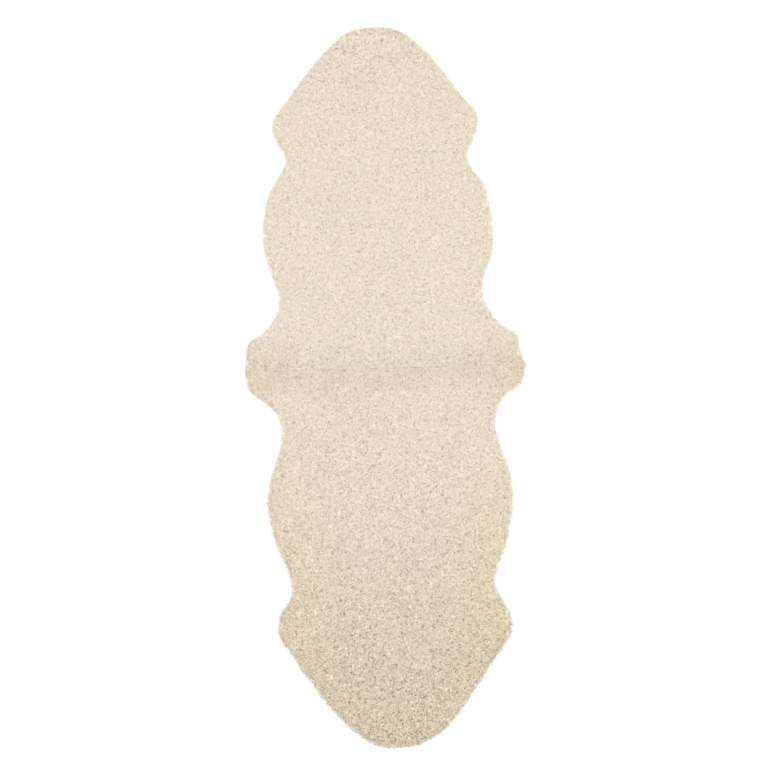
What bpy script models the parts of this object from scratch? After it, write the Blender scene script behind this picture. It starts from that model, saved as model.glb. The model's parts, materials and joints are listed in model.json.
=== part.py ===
"""A double sheepskin rug: two short-curled pelts sewn together end to end, lying flat.

The rug lies on the plane z = 0 with its length along Y and the middle of its bounding box
over the origin. Each pelt is one solid, the tanned skin with its wool. Its head end points
away from the seam, and its hind legs meet the other pelt's at the seam.
"""

import math
import random
from collections import namedtuple

import bmesh
import bpy
from mathutils import Vector, noise
from mathutils.geometry import delaunay_2d_cdt

MM = 0.001

# ---- Driving dimensions, in millimetres ----
FAR_PELT_LENGTH = 854  # from the seam to the tip of the neck
NEAR_PELT_LENGTH = 946
SKIN_THICKNESS = 2
PILE_HEIGHT = 18  # the curled wool that stands on the skin
SEAM_GAP = 0.3  # between the two pelts
SEAM_TROUGH_DEPTH = 5  # how far the wool dips where the two fleeces part
SEAM_TROUGH_REACH = 16  # how far from the seam the dip begins

# ---- How the wool's surface is divided and how uneven it is, in millimetres ----
TUFT_SPACING = 14.5  # between neighbouring points on the top of the wool
RIM_SPACING = 12  # between neighbouring points along the rim
TUFT_WANDER = 3.5  # how far a tuft may stand from its even place
CROWN_HEIGHT = 1.5  # how far the highest tufts stand above the pile height
PARTING_DEPTH = 6  # from the highest tufts down to the deepest partings between them
PARTING_RARITY = 2  # the higher this power, the fewer of the partings are deep ones
RIM_PARTING_DEPTH = 4.5  # how far in the partings between the locks of the rim reach
LEAST_RIM_PARTING = 0.4  # the shallowest of them, as a share of that
SWELL_WIDTH = 90  # the wide, low waves of the fleece
SWELL_HEIGHT = 0.8
SEED = 11

# ---- The wool's colour ----
WOOL_COLOUR = (0.80, 0.71, 0.56, 1.0)
WOOL_ROUGHNESS = 0.95

# ---- Derived sizes ----
RUG_LENGTH = FAR_PELT_LENGTH + NEAR_PELT_LENGTH
SEAM_Y = (NEAR_PELT_LENGTH - FAR_PELT_LENGTH) / 2
THICKNESS = SKIN_THICKNESS + PILE_HEIGHT
RIM_CLEARANCE = 0.6 * TUFT_SPACING  # between the crown of the rim and the nearest tuft
ON_SEAM = 0.01  # closer to the seam's line than this counts as on it
CURVE_STEPS = 10  # points of the smoothed outline for each point of the pattern

# A pelt's cutting pattern. Each row is one place along the pelt, measured from the seam,
# with how far the edge of the wool lies to the left and to the right of the rug's middle.
Station = namedtuple("Station", "place along left right")

FAR_PELT = [
    Station("seam", 0, 350, 350),
    Station("hind leg", 50, 347, 337),
    Station("end of hind leg", 75, 340, 335),
    Station("back of hind leg", 96, 306, 306),
    Station("back of hind leg", 118, 285, 281),
    Station("loin", 145, 268, 262),
    Station("narrowest loin", 178, 261, 251),
    Station("flank", 224, 271, 254),
    Station("flank", 274, 290, 276),
    Station("belly", 344, 296, 281),
    Station("ribs", 400, 290, 275),
    Station("ribs", 450, 276, 263),
    Station("armpit", 500, 244, 229),
    Station("deepest armpit", 528, 234, 222),
    Station("foreleg", 560, 251, 236),
    Station("end of foreleg", 600, 266, 251),
    Station("end of foreleg", 632, 261, 249),
    Station("shoulder", 664, 236, 222),
    Station("neck", 714, 198, 183),
    Station("neck", 774, 149, 140),
    Station("nape", 814, 108, 99),
    Station("nape", 838, 76, 69),
    Station("end of the neck", 850, 40, 38),
    Station("tip of the neck", FAR_PELT_LENGTH, 6, -6),
]

NEAR_PELT = [
    Station("seam", 0, 350, 350),
    Station("hind leg", 28, 347, 349),
    Station("end of hind leg", 43, 344, 343),
    Station("back of hind leg", 64, 325, 313),
    Station("back of hind leg", 86, 293, 290),
    Station("loin", 112, 273, 277),
    Station("narrowest loin", 148, 262, 271),
    Station("flank", 190, 269, 281),
    Station("flank", 240, 286, 300),
    Station("belly", 296, 300, 310),
    Station("belly", 340, 303, 311),
    Station("ribs", 392, 295, 303),
    Station("ribs", 446, 280, 291),
    Station("ribs", 496, 258, 271),
    Station("armpit", 534, 248, 258),
    Station("foreleg", 568, 253, 268),
    Station("foreleg", 598, 277, 287),
    Station("end of foreleg", 632, 284, 300),
    Station("end of foreleg", 664, 283, 299),
    Station("shoulder", 696, 261, 281),
    Station("neck", 746, 228, 244),
    Station("neck", 806, 188, 203),
    Station("nape", 866, 138, 159),
    Station("nape", 906, 98, 122),
    Station("nape", 930, 64, 83),
    Station("end of the neck", 942, 38, 54),
    Station("tip of the neck", NEAR_PELT_LENGTH, -5, 5),
]

# The rim's section, from the floor up: how far in from the widest wool each line round the
# rug lies, how high it stands as a share of the wool's height, and how much of the depth of
# the partings between the locks reaches it.
RimLine = namedtuple("RimLine", "place inset rise lock")
RIM_SECTION = [
    RimLine("edge of the skin", 4.5, 0.0, 0.0),
    RimLine("widest wool", 0, 0.33, 0.9),
    RimLine("shoulder of the wool", 2, 0.68, 1.0),
    RimLine("crown of the rim", 9, 0.95, 0.6),
]


def clear_scene():
    for obj in list(bpy.data.objects):
        bpy.data.objects.remove(obj)


def wool_material():
    """Undyed wool: a matt, creamy white."""
    material = bpy.data.materials.new("undyed_wool")
    material.use_nodes = True
    shader = material.node_tree.nodes["Principled BSDF"]
    shader.inputs["Base Color"].default_value = WOOL_COLOUR
    shader.inputs["Roughness"].default_value = WOOL_ROUGHNESS
    shader.inputs["Metallic"].default_value = 0.0
    return material


def pattern_points(stations, towards):
    """A pelt's pattern as points in plan, from the seam round the tip and back to the seam.

    towards is +1 for the pelt that runs towards +Y from the seam, and -1 for the other."""
    left = [Vector((-s.left, SEAM_Y + towards * s.along)) for s in stations]
    right = [Vector((s.right, SEAM_Y + towards * s.along)) for s in stations[:-1]]
    return left + right[::-1]


def smooth_line(points):
    """A smooth open line through the points, as a Bezier curve gives it."""
    data = bpy.data.curves.new("pattern_line", "CURVE")
    data.dimensions = "2D"
    data.fill_mode = "NONE"
    data.resolution_u = CURVE_STEPS
    spline = data.splines.new("BEZIER")
    spline.bezier_points.add(len(points) - 1)
    for knot, point in zip(spline.bezier_points, points):
        knot.co = point.to_3d()
        knot.handle_left_type = "AUTO"
        knot.handle_right_type = "AUTO"
    guide = bpy.data.objects.new("pattern_line", data)
    bpy.context.scene.collection.objects.link(guide)
    graph = bpy.context.evaluated_depsgraph_get()
    line = guide.evaluated_get(graph).to_mesh()
    smoothed = [v.co.to_2d() for v in line.vertices]
    bpy.data.objects.remove(guide)
    return smoothed


def evenly_spaced(line, spacing):
    """The same open line with its points about spacing apart, the two ends kept."""
    travelled = [0.0]
    for a, b in zip(line, line[1:]):
        travelled.append(travelled[-1] + (b - a).length)
    steps = round(travelled[-1] / spacing)
    even, leg = [], 0
    for step in range(steps + 1):
        reach = travelled[-1] * step / steps
        while leg < len(line) - 2 and travelled[leg + 1] < reach:
            leg += 1
        share = (reach - travelled[leg]) / (travelled[leg + 1] - travelled[leg])
        even.append(line[leg].lerp(line[leg + 1], share))
    return even


def rug_outline():
    """The whole rug's outline in plan, anticlockwise, with a point on the seam at each side."""
    far = evenly_spaced(smooth_line(pattern_points(FAR_PELT, +1)), RIM_SPACING)
    near = evenly_spaced(smooth_line(pattern_points(NEAR_PELT, -1)), RIM_SPACING)
    return far[::-1] + near[1:-1]


def inward_normals(outline):
    """For each point of an anticlockwise outline, the direction that leads into the rug."""
    normals = []
    for i in range(len(outline)):
        along = outline[(i + 1) % len(outline)] - outline[i - 1]
        normals.append(Vector((-along.y, along.x)).normalized())
    return normals


def fleece_height(point):
    """How high the tips of the wool stand at a point in plan: wide waves, and the dip at the seam."""
    swell = SWELL_HEIGHT * noise.noise(point.to_3d() / SWELL_WIDTH)
    off_seam = min(abs(point.y - SEAM_Y) / SEAM_TROUGH_REACH, 1.0)
    dip = SEAM_TROUGH_DEPTH * (1 + math.cos(math.pi * off_seam)) / 2
    return THICKNESS + CROWN_HEIGHT + swell - dip


def parting(chance):
    """How far one point of the wool lies under the tips: mostly little, now and then much."""
    return PARTING_DEPTH * chance.random() ** PARTING_RARITY


def rim_loops(mesh, outline, chance):
    """Closed loops of vertices round the rug, one for each line of the rim's section.

    Every second point lies further in, so that the rim is a row of locks with partings."""
    normals = inward_normals(outline)
    depths = [RIM_PARTING_DEPTH * chance.uniform(LEAST_RIM_PARTING, 1) for _ in outline]
    partings = [depth * (i % 2) for i, depth in enumerate(depths)]
    loops = []
    for line in RIM_SECTION:
        loop = []
        for point, inward, depth in zip(outline, normals, partings):
            place = point + (line.inset + depth * line.lock) * inward
            if abs(point.y - SEAM_Y) < ON_SEAM:
                place.y = SEAM_Y
            height = line.rise * (fleece_height(place) - depth * line.lock)
            loop.append(mesh.verts.new((place.x, place.y, height)))
        loops.append(loop)
    return loops


def close_loop(mesh, loop):
    """Joins a loop's vertices with edges."""
    return [mesh.edges.new((loop[i - 1], loop[i])) for i in range(len(loop))]


def is_inside(point, ring, clearance):
    """True if a point lies within the ring and at least clearance from its edge."""
    inside = False
    for a, b in zip(ring, ring[1:] + ring[:1]):
        edge = b - a
        share = max(0.0, min(1.0, (point - a).dot(edge) / edge.length_squared))
        if (point - a - share * edge).length < clearance:
            return False
        if (a.y > point.y) != (b.y > point.y):
            crossing = a.x + (point.y - a.y) / edge.y * edge.x
            inside ^= point.x < crossing
    return inside


def tuft_places(ring, chance):
    """Places of the tufts inside the rim: rows across the rug, each half a step aside.

    One row lies on the seam, so that the rug can be parted there."""
    row_step = TUFT_SPACING * math.sqrt(3) / 2
    rows = math.ceil(RUG_LENGTH / row_step)
    columns = math.ceil(max(p.x for p in ring) / TUFT_SPACING)
    places = []
    for row in range(-rows, rows + 1):
        for column in range(-columns, columns + 1):
            x = (column + (row % 2) / 2) * TUFT_SPACING
            y = SEAM_Y + row * row_step
            if row != 0:
                x += chance.uniform(-TUFT_WANDER, TUFT_WANDER)
                y += chance.uniform(-TUFT_WANDER, TUFT_WANDER)
            place = Vector((x, y))
            if is_inside(place, ring, RIM_CLEARANCE):
                places.append(place)
    return places


def cover_with_wool(mesh, crown, chance):
    """Fills the top, inside the crown of the rim, with triangles between the tufts."""
    ring = [v.co.to_2d() for v in crown]
    places = tuft_places(ring, chance)
    tufts = [mesh.verts.new((*p, fleece_height(p) - parting(chance))) for p in places]
    corners = crown + tufts
    inside_the_ring = 1
    _, _, faces, origins, _, _ = delaunay_2d_cdt(
        ring + places, [], [list(range(len(ring)))], inside_the_ring, ON_SEAM
    )
    for face in faces:
        mesh.faces.new([corners[origins[i][0]] for i in face])


def whole_rug():
    """The rug as one closed form, before it is parted at the seam. In millimetres."""
    chance = random.Random(SEED)
    mesh = bmesh.new()
    loops = rim_loops(mesh, rug_outline(), chance)
    edges = [close_loop(mesh, loop) for loop in loops]
    for lower, upper in zip(edges, edges[1:]):
        bmesh.ops.bridge_loops(mesh, edges=lower + upper)
    mesh.faces.new(loops[0])
    cover_with_wool(mesh, loops[-1], chance)
    bmesh.ops.recalc_face_normals(mesh, faces=mesh.faces)
    return mesh


def part_at_seam(rug, towards):
    """One pelt: the rug cut off at the seam, closed there and drawn back by half the gap."""
    pelt = rug.copy()
    bmesh.ops.bisect_plane(
        pelt,
        geom=pelt.verts[:] + pelt.edges[:] + pelt.faces[:],
        dist=ON_SEAM,
        plane_co=(0, SEAM_Y, 0),
        plane_no=(0, towards, 0),
        clear_inner=True,
    )
    cut = [e for e in pelt.edges if e.is_boundary]
    bmesh.ops.holes_fill(pelt, edges=cut)
    for vertex in pelt.verts:
        if abs(vertex.co.y - SEAM_Y) < ON_SEAM:
            vertex.co.y = SEAM_Y + towards * SEAM_GAP / 2
    bmesh.ops.triangulate(pelt, faces=pelt.faces)
    bmesh.ops.recalc_face_normals(pelt, faces=pelt.faces)
    return pelt


def add_pelt(name, rug, towards, material, collection):
    """Makes one pelt's object, in metres."""
    pelt = part_at_seam(rug, towards)
    bmesh.ops.scale(pelt, vec=Vector((MM, MM, MM)), verts=pelt.verts)
    data = bpy.data.meshes.new(name)
    pelt.to_mesh(data)
    pelt.free()
    data.materials.append(material)
    data.shade_smooth()
    obj = bpy.data.objects.new(name, data)
    collection.objects.link(obj)
    return obj


def main():
    clear_scene()
    collection = bpy.data.collections.new("sheepskin_rug")
    bpy.context.scene.collection.children.link(collection)
    wool = wool_material()
    rug = whole_rug()
    add_pelt("pelt_far", rug, +1, wool, collection)
    add_pelt("pelt_near", rug, -1, wool, collection)
    rug.free()


main()
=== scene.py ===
# %% [markdown]
# # A double sheepskin rug
#
# The real rug is two sheepskins with short, tightly curled, undyed wool. Their hind ends are
# sewn together, so that the heads point outwards, and the rug lies flat on the floor. The
# construction model already says how large each pelt is and where its wool ends. This lesson
# adds what an eye sees: the tanned skin, the dense wool close to it, the curled locks that
# stand on top, and the seam. Nothing here moves or resizes the construction model.

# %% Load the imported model
import json
import math
import random
from collections import namedtuple

import bmesh
import bpy
import numpy as np
from mathutils import Euler, Matrix, Quaternion, Vector, noise

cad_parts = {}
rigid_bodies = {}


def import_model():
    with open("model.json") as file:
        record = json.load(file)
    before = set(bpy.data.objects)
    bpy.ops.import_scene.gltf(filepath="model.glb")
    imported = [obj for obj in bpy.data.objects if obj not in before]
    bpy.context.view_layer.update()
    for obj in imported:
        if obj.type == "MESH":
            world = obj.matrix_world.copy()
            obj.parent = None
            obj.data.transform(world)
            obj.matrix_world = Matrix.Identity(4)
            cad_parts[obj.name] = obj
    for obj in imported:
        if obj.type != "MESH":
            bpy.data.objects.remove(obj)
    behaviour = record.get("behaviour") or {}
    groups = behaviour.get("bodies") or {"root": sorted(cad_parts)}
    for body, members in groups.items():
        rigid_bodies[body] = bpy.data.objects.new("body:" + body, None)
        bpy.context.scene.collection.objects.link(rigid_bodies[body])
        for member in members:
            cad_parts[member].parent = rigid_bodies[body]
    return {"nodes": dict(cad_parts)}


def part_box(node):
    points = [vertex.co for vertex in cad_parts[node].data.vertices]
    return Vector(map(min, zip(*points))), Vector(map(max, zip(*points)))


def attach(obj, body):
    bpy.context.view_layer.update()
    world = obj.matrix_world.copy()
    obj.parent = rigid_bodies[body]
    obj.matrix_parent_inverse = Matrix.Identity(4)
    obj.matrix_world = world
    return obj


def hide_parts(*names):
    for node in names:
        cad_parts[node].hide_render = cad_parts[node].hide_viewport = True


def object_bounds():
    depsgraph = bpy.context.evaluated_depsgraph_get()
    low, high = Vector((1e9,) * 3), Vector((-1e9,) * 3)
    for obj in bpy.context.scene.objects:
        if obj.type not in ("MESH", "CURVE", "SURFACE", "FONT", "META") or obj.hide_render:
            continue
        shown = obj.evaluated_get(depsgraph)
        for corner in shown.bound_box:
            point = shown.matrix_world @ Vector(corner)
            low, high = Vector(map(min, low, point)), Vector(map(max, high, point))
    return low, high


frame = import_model()
CAD_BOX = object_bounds()

MM = 0.001
RUG_SIZE = CAD_BOX[1] - CAD_BOX[0]
print("rug, in mm:", [round(side / MM) for side in RUG_SIZE])

# %% [markdown]
# ## Names for the two pelts
#
# Each pelt is one node of the construction model. The far pelt runs towards +Y from the seam
# and the near pelt towards -Y. The seam's place comes from the nodes' boxes, so that it is
# right even if the model is packed again with other sizes.

# %% Find the seam
Pelt = namedtuple("Pelt", "side node towards")
PELTS = [Pelt("far", "pelt_far", 1), Pelt("near", "pelt_near", -1)]
SEAM_Y = (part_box("pelt_far")[0].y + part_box("pelt_near")[1].y) / 2
print("the seam lies at y =", round(SEAM_Y / MM, 1), "mm")

# %% [markdown]
# ## Camera
#
# The rug is seen from straight above, so the camera looks straight down. A long lens from
# far away keeps the pile at the rug's two ends from leaning outwards in the picture, and the
# small roll is the rug's tilt there. One helper puts this and every later thing in the scene.

# %% Look straight down
PICTURE_SPAN = 1912 * MM  # what the square picture takes in, measured at the wool's height
PICTURE_CENTRE = Vector((-1.1, 5.1, 0)) * MM  # the point of the rug in the picture's middle
ROLL = math.radians(-1.63)
LENS = 85  # millimetres
SENSOR = 36  # millimetres


def put(name, data):
    """A new object in the scene, at the origin."""
    thing = bpy.data.objects.new(name, data)
    bpy.context.scene.collection.objects.link(thing)
    return thing


camera_data = bpy.data.cameras.new("camera")
camera_data.lens = LENS
camera_data.sensor_width = SENSOR
camera = put("camera", camera_data)
camera.location = PICTURE_CENTRE
camera.location.z = RUG_SIZE.z + PICTURE_SPAN * LENS / SENSOR
camera.rotation_euler = (0, 0, ROLL)
bpy.context.scene.camera = camera
print("camera height, in m:", round(camera.location.z, 2))

# %% [markdown]
# ## One helper for nodes, one for colours
#
# Materials and geometry nodes are both node trees, so one small function serves all of them:
# it adds a node, sets its properties, and gives its inputs, by name or by number, a value or
# a link. Colours are written as the hex values that a picture editor shows, and turned to the
# linear light values that the shader wants.

# %% Helpers


def add(tree, kind, inputs=(), **settings):
    """Adds a node and returns its outputs. An input gets a value or another node's output."""
    node = tree.nodes.new(kind)
    for setting, value in settings.items():
        setattr(node, setting, value)
    named = inputs if isinstance(inputs, dict) else dict(enumerate(inputs))
    for socket, value in named.items():
        if isinstance(value, bpy.types.NodeSocket):
            tree.links.new(value, node.inputs[socket])
        else:
            node.inputs[socket].default_value = value
    return node.outputs


def linear(hex_colour):
    """A hex colour such as F0E6D2 as linear red, green, blue and an alpha of 1."""
    channels = [int(hex_colour[i : i + 2], 16) / 255 for i in (0, 2, 4)]
    return [c / 12.92 if c <= 0.04045 else ((c + 0.055) / 1.055) ** 2.4 for c in channels] + [1]


def new_material(name, **shader_values):
    """A material with its Principled shader, whose even values are set on its own sockets."""
    material = bpy.data.materials.new(name)
    material.use_nodes = True
    shader = material.node_tree.nodes["Principled BSDF"]
    for socket, value in shader_values.items():
        shader.inputs[socket.replace("_", " ")].default_value = value
    return material, shader


# %% [markdown]
# ## Floor and light
#
# Wool looks soft only in soft light, where the shadows between its curls stay open. The sky
# is as pale as the floor and gives most of the light. Two large lamps, like windows on the
# right and the left of the rug, give the curls a little shape. The right one is brighter.

# %% Set up the stage
Lamp = namedtuple("Lamp", "name place watts")
LAMPS = [
    Lamp("window_right", Vector((2.6, 0.9, 4.6)), 105),
    Lamp("window_left", Vector((-2.6, 0.5, 4.6)), 85),
]
LAMP_SIZE = 2.6  # metres across
SKY_STRENGTH = 0.87
FLOOR_REACH = 12  # metres to each side


def finish_form(form, name):
    """Turns a bmesh into an object at the origin."""
    mesh = bpy.data.meshes.new(name)
    form.to_mesh(mesh)
    form.free()
    return put(name, mesh)


floor_form = bmesh.new()
bmesh.ops.create_grid(floor_form, x_segments=1, y_segments=1, size=FLOOR_REACH)
floor = finish_form(floor_form, "floor")
floor_paint, _ = new_material("matt_white_floor", Base_Color=linear("FCFCFC"), Roughness=0.9)
floor.data.materials.append(floor_paint)

for lamp in LAMPS:
    light = bpy.data.lights.new(lamp.name, "AREA")
    light.shape = "DISK"
    light.size = LAMP_SIZE
    light.energy = lamp.watts
    holder = put(lamp.name, light)
    holder.location = lamp.place
    holder.rotation_euler = lamp.place.to_track_quat("Z", "Y").to_euler()
    print(lamp.name, "is", round(lamp.place.length, 1), "m from the rug's middle")

sky = bpy.data.worlds.new("pale_sky")
sky.use_nodes = True
sky.node_tree.nodes["Background"].inputs["Color"].default_value = linear("FFFFFF")
sky.node_tree.nodes["Background"].inputs["Strength"].default_value = SKY_STRENGTH
bpy.context.scene.world = sky
bpy.context.scene.view_settings.view_transform = "Standard"

# %% [markdown]
# ## The forms to work from
#
# Every piece of a pelt starts as a copy of that pelt's node, so it fits without measuring.
# A node's mesh is loose triangles, and a copy of it is welded first. The copy is one closed
# form: the flat underside, the upright wall at the seam, and all the rest, which is wool.

# %% Copy a pelt
WELD = 0.01 * MM
SQUARE_ON = 0.99  # past this share of its normal along an axis, a face counts as square to it
ON_SEAM = 1 * MM  # what is closer to the seam than this belongs to its wall


def welded_copy(pelt):
    """A closed bmesh of a pelt's node."""
    form = bmesh.new()
    form.from_mesh(frame["nodes"][pelt.node].data)
    bmesh.ops.remove_doubles(form, verts=form.verts, dist=WELD)
    form.normal_update()
    return form


def is_underside(face):
    return face.normal.z < -SQUARE_ON


def is_seam_wall(face):
    off_seam = abs(face.calc_center_median().y - SEAM_Y)
    return abs(face.normal.y) > SQUARE_ON and off_seam < ON_SEAM


def is_wool(face):
    return not is_underside(face) and not is_seam_wall(face)


for pelt in PELTS:
    form = welded_copy(pelt)
    wool_area = sum(face.calc_area() for face in form.faces if is_wool(face))
    print(pelt.side, "pelt:", len(form.faces), "faces,", round(wool_area, 3), "m2 of wool")
    form.free()

# %% [markdown]
# ## The skin
#
# Under the wool is the sheep's own skin, tanned soft and about 2 mm thick. Its flesh side,
# which lies on the floor, is buffed to a pale suede, and its edge is a clean knife cut. The
# node's underside is already the skin's cut shape, so it is kept, joined into one face,
# extruded upwards and given a small bevel where the knife leaves a soft edge. Along the seam
# a furrier skives the skin, that is, shaves it thinner, so that the stitches don't stand out
# under the rug.

# %% Cut the skins
SKIN_THICKNESS = 2 * MM
KNIFE_EDGE = 0.35 * MM
SKIVE_DEPTH = 1.1 * MM
SKIVE_WIDTH = 7 * MM
SHARP = math.radians(30)


def make_skin(pelt):
    """The tanned skin of one pelt, and its area."""
    form = welded_copy(pelt)
    above = [f for f in form.faces if not is_underside(f)]
    bmesh.ops.delete(form, geom=above, context="FACES")
    area = sum(f.calc_area() for f in form.faces)
    cut = bmesh.ops.dissolve_faces(form, faces=form.faces)["region"]
    skive_line = Vector((0, SEAM_Y + pelt.towards * SKIVE_WIDTH, 0))
    outline = cut + form.edges[:] + form.verts[:]
    bmesh.ops.bisect_plane(form, geom=outline, dist=WELD, plane_co=skive_line, plane_no=(0, 1, 0))
    raised = bmesh.ops.extrude_face_region(form, geom=form.faces)["geom"]
    top = [part for part in raised if isinstance(part, bmesh.types.BMVert)]
    bmesh.ops.translate(form, vec=(0, 0, SKIN_THICKNESS), verts=top)
    bmesh.ops.recalc_face_normals(form, faces=form.faces)
    flat_edges = [e for e in form.edges if abs(e.verts[0].co.z - e.verts[1].co.z) < WELD]
    rim = [e for e in flat_edges if e.calc_face_angle() > SHARP]
    bmesh.ops.bevel(
        form,
        geom=rim,
        offset=KNIFE_EDGE,
        offset_type="OFFSET",
        segments=2,
        profile=0.5,
        affect="EDGES",
        material=-1,
    )
    for corner in form.verts:
        if corner.co.z < SKIN_THICKNESS / 2:
            nearness = 1 - abs(corner.co.y - SEAM_Y) / SKIVE_WIDTH
            corner.co.z += SKIVE_DEPTH * max(0, nearness)
    return finish_form(form, f"skin_{pelt.side}"), area


skins, skin_areas = {}, {}
for pelt in PELTS:
    skins[pelt.side], skin_areas[pelt.side] = make_skin(pelt)
    print(skins[pelt.side].name, "area in m2:", round(skin_areas[pelt.side], 3))

# %% [markdown]
# ### Suede
#
# The flesh side is suede: leather whose fibres are raised by buffing. It has no gloss at all,
# and it is mottled where the buffing wheel laid the nap this way or that. The mottling is a
# soft noise a few centimetres wide, and the nap a fine one. Real nap is about 0.2 mm, which is
# too fine to show, so it is drawn at 0.6 mm.

# %% Make the suede
MOTTLE_WIDTH = 35 * MM
NAP_WIDTH = 0.6 * MM
NAP_DEPTH = 0.2 * MM
SUEDE_COLOURS = ((0.3, "CDBB99"), (0.7, "DDCEB1"))  # at these values of the mottling

suede, suede_shader = new_material(
    "buffed_sheepskin_suede", Roughness=0.95, IOR=1.5, Sheen_Weight=0.25, Sheen_Roughness=0.6
)
tree = suede.node_tree
place = add(tree, "ShaderNodeTexCoord")["Object"]
mottle = add(
    tree,
    "ShaderNodeTexNoise",
    {"Vector": place, "Scale": 1 / MOTTLE_WIDTH, "Detail": 4, "Roughness": 0.6},
)
tint = add(tree, "ShaderNodeValToRGB", {"Fac": mottle["Fac"]})["Color"]
for stop, (value, colour) in zip(tint.node.color_ramp.elements, SUEDE_COLOURS):
    stop.position = value
    stop.color = linear(colour)
nap = add(tree, "ShaderNodeTexNoise", {"Vector": place, "Scale": 1 / NAP_WIDTH, "Detail": 3})
relief = add(tree, "ShaderNodeBump", {"Height": nap["Fac"], "Strength": 0.5, "Distance": NAP_DEPTH})
tree.links.new(tint, suede_shader.inputs["Base Color"])
tree.links.new(relief["Normal"], suede_shader.inputs["Normal"])
for skin in skins.values():
    skin.data.materials.append(suede)
print("the suede has", len(tree.nodes), "nodes")

# %% [markdown]
# ## The fleece
#
# From above, short curled wool is a dense surface of curls that lie side by side and over
# each other, and no skin shows between them. Thousands of separate locks could make it, but
# where they don't touch one would see through to the ground. So the fleece is one closed
# surface: the pelt's own form, made fine, and raised into curls by geometry nodes. A noise
# gives a smooth field over the pelt, which a distortion makes swirl. Counting that field in
# bands, as height lines on a map, gives winding ridges and rings: those are curls, round on
# top and with a sharp crease between. Several such layers lie over each other, and the
# highest one shows. Its field also says which way its fibres run, because fibres follow a
# curl as height lines follow a hill.
#
# A pelt is too large for one piece at this fineness, so it is cut across into sections. They
# meet without a gap, because a section's shape depends only on the place in the rug.

# %% Geometry node helpers


def new_tree(name):
    """A tree of geometry nodes, and the geometry that goes into it."""
    tree = bpy.data.node_groups.new(name, "GeometryNodeTree")
    for way in ("INPUT", "OUTPUT"):
        tree.interface.new_socket("Geometry", in_out=way, socket_type="NodeSocketGeometry")
    return tree, add(tree, "NodeGroupInput")["Geometry"]


def with_nodes(thing, tree):
    """The mesh that a node tree makes of an object, which is used up."""
    thing.modifiers.new(tree.name, "NODES").node_group = tree
    graph = bpy.context.evaluated_depsgraph_get()
    mesh = bpy.data.meshes.new_from_object(thing.evaluated_get(graph))
    bpy.data.objects.remove(thing)
    bpy.data.node_groups.remove(tree)
    return mesh


def read(layer, width, field):
    """An attribute's values as rows of numbers."""
    values = np.empty(len(layer) * width)
    layer.foreach_get(field, values)
    return values.reshape(-1, width)


def triangle_count(mesh):
    return sum(len(face.vertices) - 2 for face in mesh.polygons)


# %% Cut a pelt's form into sections
SECTION_CUTS = {"far": [465 * MM], "near": [-250 * MM, -540 * MM]}
FACING, FLAT_MAP = "facing", "OFBake"
HALF_LENGTH = RUG_SIZE.y / 2
SOFTENING = (0.4, 2)  # how far the lumps are smoothed, and how many times
ROOT_DEPTH = 0.1 * MM  # how far the fleece reaches down into the skin


def soften(form, factor, times):
    """Smooths a form's wool, and neither its underside nor its wall at the seam."""
    kept = {vertex for face in form.faces if not is_wool(face) for vertex in face.verts}
    wool = [vertex for vertex in form.verts if vertex not in kept]
    for _ in range(times):
        bmesh.ops.smooth_vert(
            form, verts=wool, factor=factor, use_axis_x=True, use_axis_y=True, use_axis_z=True
        )
    form.normal_update()


def soft_form(pelt):
    """A pelt's form with softer lumps, standing on its skin, that knows which way it faces."""
    form = welded_copy(pelt)
    soften(form, *SOFTENING)
    facing = form.verts.layers.float_vector.new(FACING)
    for vertex in form.verts:
        direction = vertex.normal.copy()
        if abs(vertex.co.y - SEAM_Y) < ON_SEAM:
            direction.y = 0
            vertex.co.y = SEAM_Y
        vertex[facing] = direction.normalized()
        vertex.co.z = max(vertex.co.z, SKIN_THICKNESS - ROOT_DEPTH)
    wool_edges = [edge for edge in form.edges if all(is_wool(face) for face in edge.link_faces)]
    bmesh.ops.subdivide_edges(form, edges=wool_edges, cuts=2, use_grid_fill=True, smooth=0.5)
    return form


def sections(pelt):
    """The closed forms that a pelt is cut into, from the far one to the near one."""
    ends = [math.inf, *SECTION_CUTS[pelt.side], -math.inf]
    for far_cut, near_cut in zip(ends, ends[1:]):
        form = soft_form(pelt)
        for cut, keep in ((far_cut, -1), (near_cut, 1)):
            if math.isinf(cut):
                continue
            parts = form.verts[:] + form.edges[:] + form.faces[:]
            bmesh.ops.bisect_plane(
                form, geom=parts, plane_co=(0, cut, 0), plane_no=(0, keep, 0), clear_inner=True
            )
            rim = [edge for edge in form.edges if edge.is_boundary]
            bmesh.ops.holes_fill(form, edges=rim)
        bmesh.ops.triangulate(form, faces=form.faces)
        form.normal_update()
        yield form


print("sections:", {side: len(cuts) + 1 for side, cuts in SECTION_CUTS.items()})

# %% [markdown]
# A section's flat layout is what one sees from above, because almost all of its faces look
# up. The rim would fold under itself there, so the lower it lies, the further outwards it is
# spread. The underside and the cut walls, which nobody sees, go into narrow strips. They are
# shaded flat and the wool smooth, so that no line shows where two sections meet.

# %% Lay a section flat
RIM_SPREAD = 26 * MM
SPREAD_BELOW = 13 * MM
WOOL_BOX = ((0.01, 0.12), (0.99, 0.99))
HIDDEN_BOXES = [((0.01, low), (0.99, low + 0.025)) for low in (0.01, 0.045, 0.08)]


def lay_in(faces, flat, place_of, box):
    """Lays faces flat by a rule for their corners, scaled to fill a box of the layout."""
    corners = [corner for face in faces for corner in face.loops]
    places = [place_of(corner.vert) for corner in corners]
    low = [min(place[axis] for place in places) for axis in (0, 1)]
    high = [max(place[axis] for place in places) for axis in (0, 1)]
    for corner, place in zip(corners, places):
        shares = [(place[axis] - low[axis]) / (high[axis] - low[axis]) for axis in (0, 1)]
        corner[flat].uv = [a + (b - a) * share for a, b, share in zip(*box, shares)]


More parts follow.
